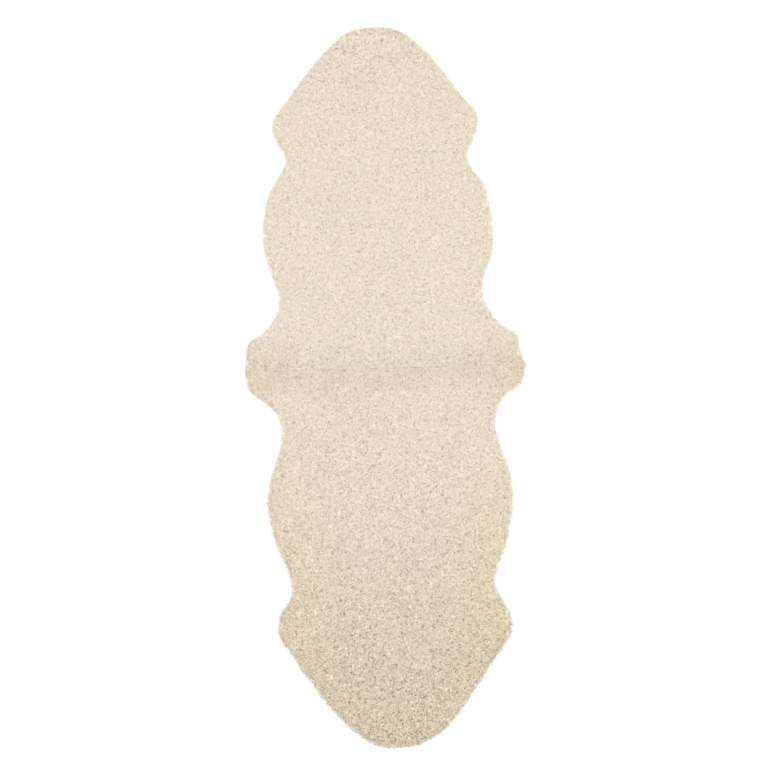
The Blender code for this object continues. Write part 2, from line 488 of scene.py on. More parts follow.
def lay_section(form):
    """Gives a section its flat layout."""
    flat = form.loops.layers.uv.new(FLAT_MAP)
    facing = form.verts.layers.float_vector[FACING]

    def from_above(vertex):
        spread = RIM_SPREAD * max(0, 1 - vertex.co.z / SPREAD_BELOW)
        return vertex.co + vertex[facing] * spread

    under = [face for face in form.faces if is_underside(face)]
    ends = [pick(vertex.co.y for vertex in form.verts) for pick in (min, max)]
    walls = [
        [face for face in form.faces if all(abs(v.co.y - end) < WELD for v in face.verts)]
        for end in ends
    ]
    hidden = {face for group in (under, *walls) for face in group}
    wool = [face for face in form.faces if face not in hidden]
    for face in form.faces:
        face.smooth = face not in hidden
    lay_in(wool, flat, from_above, WOOL_BOX)
    lay_in(under, flat, lambda vertex: vertex.co, HIDDEN_BOXES[0])
    for wall, box in zip(walls, HIDDEN_BOXES[1:]):
        if wall:
            lay_in(wall, flat, lambda vertex: vertex.co.xz, box)


# %% [markdown]
# The curls of this rug are about 8 mm from crest to crest. Wool is coarser towards a sheep's
# head, and that of the larger, nearer pelt is the coarsest.

# %% Raise the curls
Layer = namedtuple("Layer", "width bands seed")
LAYERS = [Layer(14 * MM, 4.8, 0.0), Layer(12 * MM, 4.1, 7.3), Layer(17 * MM, 5.8, 13.9)]
SWIRL = 1.1
CURL_WIDTH = 6 * MM  # about one band
LIFT_WIDTH = 5.5 * MM
LIFT_SEED = 50  # is added to a layer's own
LIFT = 0.7  # how far the layers rise and sink past each other, in ridge heights
RIDGE_FAR = 1.8 * MM  # from a crease to its crest
RIDGE_NEAR = 4.3 * MM
Change = namedtuple("Change", "start end most")  # from 0 at its start to the most at its end
COARSER = [Change(350 * MM, -HALF_LENGTH, 1), Change(500 * MM, HALF_LENGTH, 0.6)]
COARSER_POWER = 2  # it grows slowly at first
SINK = 1.2  # how far the creases lie under the form, in ridge heights
FADE = (2.5 * MM, 6.5 * MM)  # the curls grow between these heights
CREASE_TO_CREST = (0.5, 1.5)  # their heights, in ridge heights
SEAM_FILL = 3.1 * MM  # how far the curls close over the seam
SEAM_REACH = 9 * MM
# Where one curl lies over another by less than this, the wool's material paints shade into the
# crease between them.
CREASE_SHADE_STEP = 0.3  # curls that differ by so many ridge heights lie clear of each other
NOISE_RANGE = (0.25, 0.75)  # where nearly all the values of a noise lie
SHADE, ALONG, FIBRES, CREASE_SHADE = "shade", "along", "fibres", "border"


def share_along(tree, y, changes, power):
    """How far the larger of two changes has gone at a place along the rug."""
    shares = [
        add(
            tree,
            "ShaderNodeMapRange",
            {"Value": y, "From Min": change.start, "From Max": change.end, "To Max": change.most},
        )["Result"]
        for change in changes
    ]
    share = add(tree, "ShaderNodeMath", shares, operation="MAXIMUM")[0]
    return add(tree, "ShaderNodeMath", [share, power], operation="POWER")[0]


def seam_distance(tree, y):
    """How far a place is from the seam."""
    past = add(tree, "ShaderNodeMath", [y, SEAM_Y], operation="SUBTRACT")[0]
    return add(tree, "ShaderNodeMath", [past], operation="ABSOLUTE")[0]


def curl_layer(tree, place, layer):
    """One layer of curls: how high it stands, which band a place is in, and its own lift."""
    field, lift = (
        add(
            tree,
            "ShaderNodeTexNoise",
            {"Vector": place, "W": seed, "Scale": 1 / width, "Detail": detail, "Distortion": swirl},
            noise_dimensions="4D",
        )["Fac"]
        for seed, width, detail, swirl in (
            (layer.seed, layer.width, 0, SWIRL),
            (layer.seed + LIFT_SEED, LIFT_WIDTH, 1, 0),
        )
    )
    bands = add(tree, "ShaderNodeMath", [field, layer.bands], operation="MULTIPLY")[0]
    ridge = add(tree, "ShaderNodeMath", [bands, math.pi], operation="MULTIPLY")[0]
    for operation in ("SINE", "ABSOLUTE"):
        ridge = add(tree, "ShaderNodeMath", [ridge], operation=operation)[0]
    height = add(tree, "ShaderNodeMath", [lift, LIFT, ridge], operation="MULTIPLY_ADD")[0]
    return height, bands, lift


def curl_nodes():
    """Raises a form into layers of curls and stores what the wool's material needs."""
    tree, start = new_tree("curls")
    fine = add(tree, "GeometryNodeSubdivideMesh", {"Mesh": start, "Level": 1})["Mesh"]
    place = add(tree, "GeometryNodeInputPosition")["Position"]
    height, bands, lift = curl_layer(tree, place, LAYERS[0])
    clearance = 1
    for layer in LAYERS[1:]:
        other_height, other_bands, other_lift = curl_layer(tree, place, layer)
        wins, step, height = (
            add(tree, "ShaderNodeMath", [other_height, height], operation=operation)[0]
            for operation in ("GREATER_THAN", "SUBTRACT", "MAXIMUM")
        )
        step = add(tree, "ShaderNodeMath", [step], operation="ABSOLUTE")[0]
        least = add(tree, "ShaderNodeMath", [step, clearance], operation="MINIMUM")[0]
        clearance, bands, lift = (
            add(tree, "ShaderNodeMix", {0: wins, 2: if_not, 3: if_so})[0]
            for if_not, if_so in ((least, step), (bands, other_bands), (lift, other_lift))
        )
    sides = add(tree, "ShaderNodeSeparateXYZ", {"Vector": place})
    coarse = share_along(tree, sides["Y"], COARSER, COARSER_POWER)
    off_seam = seam_distance(tree, sides["Y"])
    # The height from crease to crest is stored as along. From it the wool's material gives the
    # creases its darker root colour: partly wax, partly painted shade.
    ridge_height, fill, fade, border, along, shade = (
        add(
            tree,
            "ShaderNodeMapRange",
            {"Value": value, "From Min": a, "From Max": b, "To Min": c, "To Max": d},
            interpolation_type=way,
        )["Result"]
        for value, (a, b), (c, d), way in (
            (coarse, (0, 1), (RIDGE_FAR, RIDGE_NEAR), "LINEAR"),
            (off_seam, (0, SEAM_REACH), (SEAM_FILL, 0), "SMOOTHSTEP"),
            (sides["Z"], FADE, (0, 1), "LINEAR"),
            (clearance, (0, CREASE_SHADE_STEP), (1, 0), "LINEAR"),
            (height, CREASE_TO_CREST, (0, 1), "LINEAR"),
            (lift, NOISE_RANGE, (-1, 1), "LINEAR"),
        )
    )
    amount = add(tree, "ShaderNodeMath", [height, SINK], operation="SUBTRACT")[0]
    for operation, numbers in (("MULTIPLY_ADD", (ridge_height, fill)), ("MULTIPLY", (fade,))):
        amount = add(tree, "ShaderNodeMath", [amount, *numbers], operation=operation)[0]
    facing = add(
        tree, "GeometryNodeInputNamedAttribute", {"Name": FACING}, data_type="FLOAT_VECTOR"
    )["Attribute"]
    offset = add(
        tree, "ShaderNodeVectorMath", {0: facing, "Scale": amount}, operation="SCALE"
    )["Vector"]
    across = add(tree, "ShaderNodeMath", [bands, CURL_WIDTH], operation="MULTIPLY")[0]
    fibres = add(
        tree, "ShaderNodeCombineXYZ", {"X": across, "Y": sides["X"], "Z": sides["Y"]}
    )["Vector"]
    stored = fine
    for name, kind, value in (
        (ALONG, "FLOAT", along),
        (SHADE, "FLOAT", shade),
        (CREASE_SHADE, "FLOAT", border),
        (FIBRES, "FLOAT_VECTOR", fibres),
    ):
        stored = add(
            tree,
            "GeometryNodeStoreNamedAttribute",
            {"Geometry": stored, "Name": name, "Value": value},
            data_type=kind,
            domain="POINT",
        )["Geometry"]
    raised = add(tree, "GeometryNodeSetPosition", {"Geometry": stored, "Offset": offset})
    add(tree, "NodeGroupOutput", {"Geometry": raised["Geometry"]})
    return tree


fleeces = {}
for pelt in PELTS:
    fleeces[pelt.side] = []
    for number, form in enumerate(sections(pelt)):
        lay_section(form)
        name = f"fleece_{pelt.side}_{number}"
        mesh = with_nodes(finish_form(form, name + "_form"), curl_nodes())
        mesh.name = name
        mesh.attributes.remove(mesh.attributes[FACING])
        fleeces[pelt.side].append(put(name, mesh))
        print(name, triangle_count(mesh), "triangles")

# %% [markdown]
# ## Strands: one way to grow everything thin
#
# Washed wool dries in locks: some hundred fibres that cling together and curl as one. The
# fleece shows their bodies. Their thin tips, which stand out of it, are real strands. A strand
# could be a curve with a bevel, but a mesh keeps the number of faces small, and thousands are
# needed. So it is grown like a plant: a ring of corners is extruded again and again, and at
# each step it is moved on, bent, twisted and made wider or thinner. The same growth gives
# the stitches of the seam. A habit says how a strand grows: its size, how far it leans at its
# root and how far it turns at each step, in degrees, and how wide it is there, as a share.

# %% Habits of growth
Habit = namedtuple("Habit", "name sides width thickness step lean arch curl widths")
TAPER = (0.80, 1.00, 1.00, 0.95, 0.85, 0.72, 0.55, 0.30)
ARCH = (34, 34, 20, 8, 8, 18, 30)
LOW_ARCH = (30, 34, 26, 8, 6, 16, 30)
RING = (0, 26, 40, 46, 50, 54, 58)
SNAKE = (0, 34, 44, 20, -24, -44, -34)
HOOK = (10, 24, 30, 30, 28, 20, 10)
CURL = Habit("curls", 3, 1.0 * MM, 0.8 * MM, 2.8 * MM, 14, ARCH, RING, TAPER)
WAVE = Habit("waves", 3, 0.9 * MM, 0.7 * MM, 3.0 * MM, 14, ARCH, SNAKE, TAPER)
WISP = Habit("wisps", 3, 0.6 * MM, 0.5 * MM, 3.2 * MM, 14, LOW_ARCH, HOOK, TAPER)
FLICK = Habit(
    "flicks", 3, 1.0 * MM, 0.8 * MM, 2.2 * MM, 0, (4, 8, 14, 16, 10), (18, 28, 36, 36, 28), TAPER
)
STRAY = 0.3  # how far one strand's bends stray from its habit
POINT_HEIGHT = 0.4  # of a strand's two ends, as a share of its thickness
SIDE, STEP = "side", "step"


def grow(habit, chance):
    """One strand, grown upwards from its root."""
    form = bmesh.new()
    side_of = form.verts.layers.int.new(SIDE)
    step_of = form.verts.layers.int.new(STEP)
    ring = bmesh.ops.create_circle(form, cap_ends=True, segments=habit.sides, radius=0.5)["verts"]
    for side, corner in enumerate(ring):
        corner[side_of] = side
    root = tip = form.faces[:][0]
    width_here = habit.widths[0]
    section = Matrix.Diagonal((habit.width * width_here, habit.thickness * width_here, 1, 1))
    here = Matrix.Rotation(math.radians(habit.lean), 4, "X")
    bmesh.ops.transform(form, matrix=here @ section, verts=ring)
    for step, (arch, curl) in enumerate(zip(habit.arch, habit.curl), start=1):
        stray = [math.radians(chance.uniform(1 - STRAY, 1 + STRAY)) for _ in range(2)]
        turn = Euler((arch * stray[0], curl * stray[1], 0))
        onward = here @ turn.to_matrix().to_4x4() @ Matrix.Translation((0, 0, habit.step))
        wider = Matrix.Scale(habit.widths[step] / width_here, 4)
        grown = bmesh.ops.extrude_face_region(form, geom=[tip])["geom"]
        if tip is not root:
            bmesh.ops.delete(form, geom=[tip], context="FACES_ONLY")
        ring = [part for part in grown if isinstance(part, bmesh.types.BMVert)]
        tip = next(part for part in grown if isinstance(part, bmesh.types.BMFace))
        bmesh.ops.transform(form, matrix=onward @ wider @ here.inverted(), verts=ring)
        for corner in ring:
            corner[step_of] = step
        here, width_here = onward, habit.widths[step]
    bmesh.ops.recalc_face_normals(form, faces=form.faces)
    root, tip = (
        next(face for face in form.faces if {v[step_of] for v in face.verts} == {end})
        for end in (0, len(habit.arch))
    )
    for face, step in ((root, -1), (tip, len(habit.arch) + 1)):
        height = habit.thickness * POINT_HEIGHT
        point = bmesh.ops.poke(form, faces=[face], offset=height)["verts"][0]
        point[side_of] = -1
        point[step_of] = step
    return form


def unwrap(form, habit):
    """Lays a strand flat: its sides go across and its steps go up, both from 0 to 1."""
    side_of = form.verts.layers.int[SIDE]
    step_of = form.verts.layers.int[STEP]
    along = form.verts.layers.float.new(ALONG)
    flat = form.loops.layers.uv.new(FLAT_MAP)
    steps = len(habit.arch) + 2
    for vertex in form.verts:
        vertex[along] = (vertex[step_of] + 1) / steps
    for face in form.faces:
        sides = {corner.vert[side_of] for corner in face.loops} - {-1}
        closes_ring = sides == {0, habit.sides - 1}
        across = {side: habit.sides if closes_ring and side == 0 else side for side in sides}
        across[-1] = sum(across.values()) / len(across)
        for corner in face.loops:
            place = across[corner.vert[side_of]] / habit.sides
            corner[flat].uv = (place, corner.vert[along])


def strand_kit(habit, variants, chance):
    """A few unlike strands of one habit, each with its topmost point over its own origin."""
    kit = bpy.data.collections.new(habit.name)
    for number in range(variants):
        form = grow(habit, chance)
        unwrap(form, habit)
        spans = [[vertex.co[axis] for vertex in form.verts] for axis in range(3)]
        x, y = ((min(span) + max(span)) / 2 for span in spans[:2])
        bmesh.ops.translate(form, vec=(-x, -y, -max(spans[2])), verts=form.verts)
        mesh = bpy.data.meshes.new(f"{habit.name}_{number:02d}")
        form.to_mesh(mesh)
        form.free()
        kit.objects.link(bpy.data.objects.new(mesh.name, mesh))
    return kit


for habit in (CURL, WAVE, WISP, FLICK):
    kit = strand_kit(habit, 1, random.Random(1))
    size = kit.objects[0].dimensions
    faces = len(kit.objects[0].data.polygons)
    print(habit.name, faces, "faces,", [round(side / MM, 1) for side in size], "mm")
    bpy.data.collections.remove(kit)

# %% [markdown]
# ## Where the strands stand
#
# Strands grow all over a pelt, never in rows and never on top of each other. Geometry nodes
# have a tool for that: points scattered on a surface with a least distance between them. The
# surface is the pelt's own wool, without its underside and its wall at the seam. Each point
# also keeps which way the wool faces there: upwards on the body, outwards at the rim.

# %% Scatter points on a surface
LOWEST_STRAND = 4.5 * MM  # lower down on the rim, a strand would touch the floor
RIM_SLOPE = 0.75  # where the wool faces up by less than this, it is the rim
SURFACE_SOFTENING = (0.35, 1)
CROWDING = 4  # points that are tried for each square with sides of the least distance


def wool_surface(pelt, is_wanted):
    """The part of a pelt's surface that strands grow on, of which one chooses the faces."""
    form = welded_copy(pelt)
    soften(form, *SURFACE_SOFTENING)
    bare = [
        face
        for face in form.faces
        if not is_wool(face)
        or face.calc_center_median().z < LOWEST_STRAND
        or not is_wanted(face)
    ]
    bmesh.ops.delete(form, geom=bare, context="FACES")
    return finish_form(form, f"surface_{pelt.side}")


def scatter(surface, distance, seed):
    """Points on a surface at least so far apart, and the way that it faces at each."""
    tree, start = new_tree("scatter")
    points = add(
        tree,
        "GeometryNodeDistributePointsOnFaces",
        {
            "Mesh": start,
            "Distance Min": distance,
            "Density Max": CROWDING / distance**2,
            "Seed": seed,
        },
        distribute_method="POISSON",
    )
    kept = add(
        tree,
        "GeometryNodeStoreNamedAttribute",
        {"Geometry": points["Points"], "Name": FACING, "Value": points["Normal"]},
        data_type="FLOAT_VECTOR",
        domain="POINT",
    )
    corners = add(tree, "GeometryNodePointsToVertices", {"Points": kept["Geometry"]})
    add(tree, "NodeGroupOutput", {"Geometry": corners["Mesh"]})
    mesh = with_nodes(surface, tree)
    spots = read(mesh.vertices, 3, "co")
    facings = read(mesh.attributes[FACING].data, 3, "vector")
    bpy.data.meshes.remove(mesh)
    return [Vector(spot) for spot in spots], [Vector(facing) for facing in facings]


print("strands stand at least", round(LOWEST_STRAND / MM, 1), "mm above the floor")

# %% [markdown]
# ## Habits mixed, turned and sized
#
# A few habits would look like a pattern if they took turns. So each point draws its habit,
# its turn, its lean and its size by chance, from a seeded source, so that the rug comes out
# the same every time. Sizes also drift in patches, as on a real fleece, and grow towards the
# near end, where the wool is coarser. On the body the tips curl down into the fleece. At the
# rim they have no neighbour to hold them and stand out, which makes the rug's edge soft.

# %% Choose what grows at each point
Place = namedtuple("Place", "spot turn size shade variant")
Growth = namedtuple("Growth", "habits shares distance is_wanted upright proud wander")
GROWTHS = [
    Growth(
        habits=(CURL, WAVE, WISP),
        shares=(0.3, 0.3, 0.4),
        distance=10.4 * MM,
        is_wanted=lambda face: True,
        upright=0.2,
        proud=1.6 * MM,
        wander=0.6 * MM,
    ),
    Growth(
        habits=(FLICK,),
        shares=(1,),
        distance=4.4 * MM,
        is_wanted=lambda face: face.normal.z < RIM_SLOPE,
        upright=0.1,
        proud=3.7 * MM,
        wander=1.4 * MM,
    ),
]
VARIANTS = 6
LEAN = math.radians(9)  # how far a strand strays from the way its wool faces
SIZE_RANGE = (0.8, 1.2)
PATCH_WIDTH = 110 * MM
PATCH_SIZE = 0.10
COARSER_NEAR = (0.85, 1.15)
UP = Vector((0, 0, 1))


def coarseness(spot):
    """How large the strands are around a spot, where 1 is usual."""
    patch = noise.noise(spot / PATCH_WIDTH) * PATCH_SIZE
    towards_near = 0.5 - spot.y / HALF_LENGTH / 2
    return patch + COARSER_NEAR[0] + (COARSER_NEAR[1] - COARSER_NEAR[0]) * towards_near


def choose_place(growth, spot, facing, chance):
    """A strand's place: its spot, how it is turned, its size and how pale it is."""
    astray = Vector((chance.gauss(0, 1), chance.gauss(0, 1), chance.gauss(0, 1))) * math.tan(LEAN)
    direction = (facing.lerp(UP, growth.upright) + astray).normalized()
    turn = direction.to_track_quat("Z", "Y") @ Quaternion((0, 0, 1), chance.uniform(0, math.tau))
    size = chance.uniform(*SIZE_RANGE) * coarseness(spot)
    height = facing * chance.gauss(growth.proud, growth.wander)
    return Place(spot + height, turn, size, chance.uniform(-1, 1), chance.randrange(VARIANTS))


strand_places = {pelt.side: {} for pelt in PELTS}
for pelt in PELTS:
    for number, growth in enumerate(GROWTHS):
        surface = wool_surface(pelt, growth.is_wanted)
        spots, facings = scatter(surface, growth.distance, seed=number)
        chance = random.Random(f"{pelt.side} {number}")
        for habit in growth.habits:
            strand_places[pelt.side][habit] = []
        for spot, facing in zip(spots, facings):
            habit = chance.choices(growth.habits, growth.shares)[0]
            strand_places[pelt.side][habit].append(choose_place(growth, spot, facing, chance))
    counts = {habit.name: len(places) for habit, places in strand_places[pelt.side].items()}
    print(pelt.side, "strands:", counts)

# %% [markdown]
# ## Plant the strands
#
# A mesh of bare points carries each strand's turn, size and variant, and geometry nodes set a
# copy of the chosen strand on each point and make all the copies real. That is one mesh for
# each habit and pelt. Afterwards every strand gets its own small square of the flat layout,
# so that no two share a place in it, and a second layout in real size, along which the
# material draws fibres.

# %% Plant strands and lay them out
TURN, SIZE, VARIANT, NUMBER = "turn", "size", "variant", "number"
CELL_MARGIN = 0.06


def plant(name, habit, places):
    """One mesh with a strand of a habit at each place."""
    kit = strand_kit(habit, VARIANTS, random.Random(habit.name))
    spots = bpy.data.meshes.new(name)
    spots.from_pydata([place.spot for place in places], [], [])
    for attribute, kind, values in (
        (TURN, "QUATERNION", [number for place in places for number in place.turn]),
        (SIZE, "FLOAT", [place.size for place in places]),
        (SHADE, "FLOAT", [place.shade for place in places]),
        (VARIANT, "INT", [place.variant for place in places]),
        (NUMBER, "INT", range(len(places))),
    ):
        spots.attributes.new(attribute, kind, "POINT").data.foreach_set("value", values)
    tree, start = new_tree("plant")
    strands = add(
        tree,
        "GeometryNodeCollectionInfo",
        {"Collection": kit, "Separate Children": True, "Reset Children": True},
    )["Instances"]
    turn, size, variant = (
        add(tree, "GeometryNodeInputNamedAttribute", {"Name": stored}, data_type=kind)["Attribute"]
        for stored, kind in ((TURN, "QUATERNION"), (SIZE, "FLOAT"), (VARIANT, "INT"))
    )
    planted = add(
        tree,
        "GeometryNodeInstanceOnPoints",
        {
            "Points": start,
            "Instance": strands,
            "Pick Instance": True,
            "Instance Index": variant,
            "Rotation": turn,
            "Scale": size,
        },
    )["Instances"]
    real = add(tree, "GeometryNodeRealizeInstances", {"Geometry": planted})["Geometry"]
    add(tree, "NodeGroupOutput", {"Geometry": real})
    mesh = with_nodes(put(name + "_spots", spots), tree)
    bpy.data.meshes.remove(spots)
    mesh.name = name
    mesh.materials.clear()
    lay_out(mesh, habit, len(places))
    return put(name, mesh)


def lay_out(mesh, habit, count):
    """Gives each strand its own square of the flat layout, and a layout in real size."""
    squares = math.ceil(math.sqrt(count))
    number = read(mesh.attributes[NUMBER].data, 1, "value")[:, 0].astype(int)
    corners = read(mesh.loops, 1, "vertex_index")[:, 0].astype(int)
    mine = number[corners]
    flat = read(mesh.uv_layers[FLAT_MAP].uv, 2, "vector")
    origin = np.stack([mine % squares, mine // squares], axis=1)
    placed = (origin + CELL_MARGIN + (1 - 2 * CELL_MARGIN) * flat) / squares
    mesh.uv_layers[FLAT_MAP].uv.foreach_set("vector", placed.ravel())
    girth = 3 * habit.width
    reach = habit.step * len(habit.arch)
    fibres = np.column_stack([(flat + origin) * (girth, reach), np.zeros(len(flat))])
    mesh.attributes.new(FIBRES, "FLOAT_VECTOR", "CORNER").data.foreach_set("vector", fibres.ravel())
    for name in (TURN, SIZE, VARIANT, NUMBER):
        mesh.attributes.remove(mesh.attributes[name])


def press_on_floor(mesh, clearance):
    """Pushes up what reaches below the floor, as the floor does to the lowest wool."""
    corners = read(mesh.vertices, 3, "co")
    corners[:, 2] = np.maximum(corners[:, 2], clearance)
    mesh.vertices.foreach_set("co", corners.ravel())
    mesh.update()


FLOOR_CLEARANCE = 0.4 * MM
strands = {pelt.side: [] for pelt in PELTS}
for pelt in PELTS:
    for habit, places in strand_places[pelt.side].items():
        piece = plant(f"{habit.name}_{pelt.side}", habit, places)
        press_on_floor(piece.data, FLOOR_CLEARANCE)
        strands[pelt.side].append(piece)
        print(piece.name, triangle_count(piece.data), "triangles")

# %% [markdown]
# ## The seam's stitches
#
# The pelts are joined from the back by an overcast seam: a waxed thread goes over both
# edges again and again, and each turn lies a little aslant. Furriers sew about five
# millimetres to a stitch on a rug. One stitch is a strand like the others, bent into a
# bracket whose two ends stick in the skins, and it is planted upside down along the seam.

# %% Sew the seam
STITCH_PITCH = 5 * MM
THREAD = 0.8 * MM
STITCH_SLANT = math.radians(22)
STITCH_HEIGHT = 0.15 * MM  # of its lowest part, above the floor
STITCH_STRAY = 3  # how far one lies askew, in degrees
STITCH_SIZES = (0.94, 1.06)
SEAM_MARGIN = 12 * MM  # the seam is sewn up to here from each side of the rug
BRACKET = (45, 30, 10, 10, 10, 30, 45)
STITCH = Habit("stitches", 6, THREAD, THREAD, 1.0 * MM, 0, BRACKET, (0,) * 7, (1,) * 8)

seam_reach = min(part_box(pelt.node)[1].x for pelt in PELTS) - SEAM_MARGIN
stitch_count = round(2 * seam_reach / STITCH_PITCH)
upside_down = Quaternion((0, 0, 1), STITCH_SLANT) @ Quaternion((0, 1, 0), math.pi)
chance = random.Random(STITCH.name)
stitch_places = [
    Place(
        Vector((seam_reach * (2 * (number + 0.5) / stitch_count - 1), SEAM_Y, STITCH_HEIGHT)),
        Quaternion((0, 0, 1), math.radians(chance.gauss(0, STITCH_STRAY))) @ upside_down,
        chance.uniform(*STITCH_SIZES),
        0,
        chance.randrange(VARIANTS),
    )
    for number in range(stitch_count)
]
stitches = plant("seam_stitches", STITCH, stitch_places)
lowest = min(vertex.co.z for vertex in stitches.data.vertices)
print(stitch_count, "stitches, the lowest at", round(lowest / MM, 2), "mm")

# %% [markdown]
# ## Wool
#
# This is undyed lambswool, washed and clipped short. Its fibres are translucent and scatter
# light in all directions, so a lock has no highlight, only a pale, soft glow at its edges:
# high roughness and some sheen. Clean wool is a warm cream. It is yellower near the skin,
# where the wool wax stays, and paler at the tips, which light and washing bleach. The creases
# between the curls get the darker root colour too, which is partly that wax and partly painted
# shade, most of all at the near end. Where one curl lies just over another, the crease is
# painted darker still. At the rug's rim the low wool is painted paler and brighter, a painted
# glow of light through its edge. Along the seam the wool is painted darker, a painted shade in
# the seam's hollow. The tips grow warmer and darker towards both heads, most of all at the near
# end. This is partly warmer wool and partly painted shade for light that falls off there. The
# near pelt, which is the warmest, is also a little darker, and yellower at its sides. The legs
# are warmer too. Each lock has a shade of its own. The fibres are fine streaks along the lock,
# and their crimp is a row of small waves across them.

# %% Make the wool
Colours = namedtuple("Colours", "root tip")
# Root colours, which the creases between curls get as well: partly wax-stained wool, partly painted
# shade, darkest at the near end.
FAR_WOOL_AND_SHADE = Colours("B0A38C", "CCC3B2")
NEAR_WOOL_AND_SHADE = Colours("74654A", "C5B8A1")
LEG_TIP = "CABFA5"
BUNDLE_WIDTH = 1.8 * MM
BUNDLE_RUN = 6 * MM
BUNDLE_DEPTH = 1.2 * MM
FIBRE_WIDTH = 0.6 * MM  # a real fibre is 0.03 mm; only a bundle of them shows
FIBRE_RUN = 7 * MM
FIBRE_DEPTH = 0.4 * MM
CRIMP = 1.8 * MM  # from one small wave of a fibre to the next
CRIMP_RUN = 0.15  # how much more slowly it changes across the fibres
CRIMP_DEPTH = 0.5 * MM
BLOTCH_WIDTH = 90 * MM
CREASE_SHADE_DEPTH = 0.35  # painted shade: how far the crease where one curl lies over another counts as nearer to the darker root
BLEACHED_AND_LIT = (0, 0.6)  # the part of a lock, from its root, over which it grows paler: partly bleaching, partly painted shade in the creases
SEAM_SHADE_REACH = 80 * MM  # painted shade in the seam's hollow reaches this far to each side
SEAM_SHADE = 0.08
# The tips grow warmer and darker towards the near end, and a little towards the far head: partly
# warmer wool, partly painted shade for the light that falls off towards the near end.
WARMER_AND_SHADED = [Change(-250 * MM, -HALF_LENGTH, 1), Change(600 * MM, HALF_LENGTH, 0.35)]
NEAR_PELT_Y = (SEAM_Y + 5 * MM, SEAM_Y - 5 * MM)  # the curls of both pelts mingle here
NEAR_PELT_TINT = "FDFCFB"
SIDE_X = (100 * MM, 290 * MM)  # the near pelt's sides are yellower, by more wool wax
SIDE_Y = (-50 * MM, -350 * MM)
SIDE_TINT = "FFFEF6"
# Painted light: the low wool over the rug's rim is painted paler and brighter, a painted glow of
# light through the wool's edge. The low wool by the seam gets less of it.
RIM_GLOW_Z = (18 * MM, 7 * MM)  # wool that is lower than this hangs over the rug's rim
RIM_GLOW_SEAM_CLEAR = (6 * MM, 20 * MM)  # the wool is low at the seam as well, up to so far from it,
SEAM_RIM_GLOW = 0.35  # and there it gets so much of the rim's painted glow
RIM_GLOW_TIP = "DAD6CD"
RIM_GLOW = 0.3
LEG_X = RUG_SIZE.x / 2 - 30 * MM
LEG_REACH = 150 * MM
Strength = namedtuple("Strength", "far near")
OWN_SHADE = Strength(0.03, 0.07)
BLOTCH_SHADE = Strength(0.02, 0.02)
BUNDLE_SHADE = Strength(0.15, 0.46)
FIBRE_SHADE = Strength(0.12, 0.17)
PATTERN_RANGE = (0.3, 0.7)  # what counts as the darkest and the palest of a noise


def streaks(tree, fibre_map, width, run):
    """A pattern that is narrow across the fibres and long along them."""
    stretched = add(
        tree, "ShaderNodeMapping", {"Vector": fibre_map, "Scale": (1 / width, 1 / run, 1 / run)}
    )["Vector"]
    return add(
        tree,
        "ShaderNodeTexNoise",
        {"Vector": stretched, "Scale": 1, "Detail": 2, "Roughness": 0.6, "Distortion": 0.4},
    )["Fac"]


